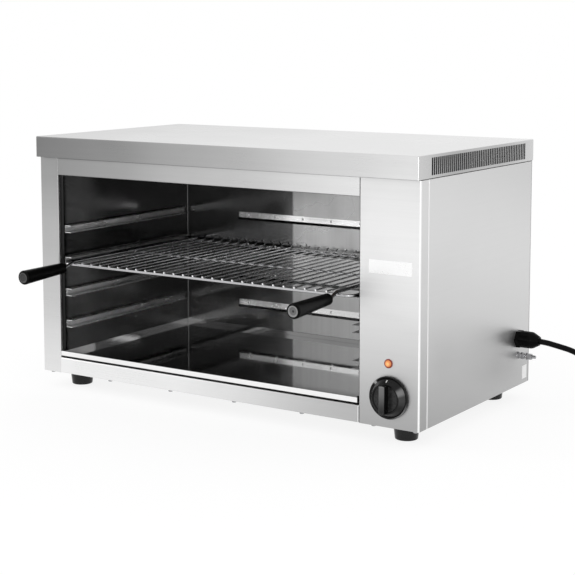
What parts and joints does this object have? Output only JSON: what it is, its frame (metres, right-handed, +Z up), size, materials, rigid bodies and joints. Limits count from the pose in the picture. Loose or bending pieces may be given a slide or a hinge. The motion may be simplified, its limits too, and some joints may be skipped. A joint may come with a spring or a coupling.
{
  "type": "cheese melter",
  "caption": "Counter-top cheese melter: open-front stainless grill with elements under its roof, a sliding wire rack with handles, a crumb tray and a thermostat knob.",
  "frame": {"origin": "middle of the object's footprint on the worktop, without its cord", "axes": "+X to the right as seen from the front, +Y to the back, +Z up"},
  "size_m": [1.069, 0.7466, 0.47],
  "materials": {
    "casing_steel": "brushed stainless sheet",
    "liner_steel": "bright stainless sheet",
    "runner_steel": "plain stainless sheet",
    "tray_steel": "polished stainless sheet",
    "chromed_wire": "chromed steel rod",
    "element_sheath": "heat-dulled alloy tube",
    "zinc_steel": "zinc plated fasteners",
    "knob_plastic": "glossy black moulding",
    "grip_plastic": "smooth black moulding",
    "cap_plastic": "grey moulding",
    "foot_rubber": "black rubber",
    "lens_plastic": "amber lens",
    "lamp_plastic": "dark red moulding",
    "control_plastic": "pale electrical moulding",
    "wire_sheath": "heat-proof sleeve",
    "capillary_copper": "drawn copper tube",
    "gland_plastic": "black moulding",
    "cord_rubber": "black rubber sheath",
    "plug_rubber": "black moulded rubber",
    "pin_metal": "nickel plated pins"
  },
  "bodies": {
    "casing": {"top_cover": "casing_steel", "left_side_panel": "casing_steel", "right_side_panel": "casing_steel", "control_panel": "casing_steel", "front_header": "casing_steel", "bottom_rail": "casing_steel", "rear_panel": "casing_steel", "base_panel": "casing_steel", "cavity_floor": "liner_steel", "cavity_liner": "liner_steel", "cavity_roof": "liner_steel", "left_runner_1": "runner_steel", "right_runner_1": "runner_steel", "rear_rail_1": "runner_steel", "left_runner_2": "runner_steel", "right_runner_2": "runner_steel", "rear_rail_2": "runner_steel", "left_runner_3": "runner_steel", "right_runner_3": "runner_steel", "rear_rail_3": "runner_steel", "left_runner_4": "runner_steel", "right_runner_4": "runner_steel", "rear_rail_4": "runner_steel", "heating_element_1": "element_sheath", "heating_element_2": "element_sheath", "heating_element_3": "element_sheath", "element_nuts": "zinc_steel", "element_hangers": "liner_steel", "thermostat_body": "control_plastic", "thermostat_bulb": "capillary_copper", "thermostat_capillary": "capillary_copper", "pilot_body": "lamp_plastic", "pilot_lens": "lens_plastic", "terminal_block": "control_plastic", "compartment_wiring": "wire_sheath", "cord_gland": "gland_plastic", "gland_dome_nut": "gland_plastic", "gland_locknut": "gland_plastic", "earth_stud": "zinc_steel", "earth_nuts": "zinc_steel", "foot_front_left": "foot_rubber", "foot_front_right": "foot_rubber", "foot_rear_left": "foot_rubber", "foot_rear_right": "foot_rubber", "casing_screws": "zinc_steel", "power_cord": "cord_rubber", "cord_coil": "cord_rubber", "cord_tie": "cap_plastic", "cord_tail": "cord_rubber", "plug_body": "plug_rubber", "plug_pins": "pin_metal"},
    "rack": {"rack_frame": "chromed_wire", "rack_wires": "chromed_wire", "handle_rods": "chromed_wire", "handle_grip_left": "grip_plastic", "handle_grip_right": "grip_plastic", "handle_end_caps": "cap_plastic"},
    "tray": {"crumb_tray": "tray_steel"},
    "knob": {"control_knob": "knob_plastic", "thermostat_shaft": "zinc_steel"}
  },
  "joints": [
    {"name": "rack_slide", "type": "slide", "parent": "casing", "child": "rack", "axis": [0, -1, 0], "range_m": [0, 0.3]},
    {"name": "tray_slide", "type": "slide", "parent": "casing", "child": "tray", "axis": [0, -1, 0], "range_m": [0, 0.33]},
    {"name": "knob_turn", "type": "hinge", "parent": "casing", "child": "knob", "pos_m": [0.3245, -0.14451, 0.0785], "axis": [0, 1, 0], "range_deg": [0, 285]}
  ]
}
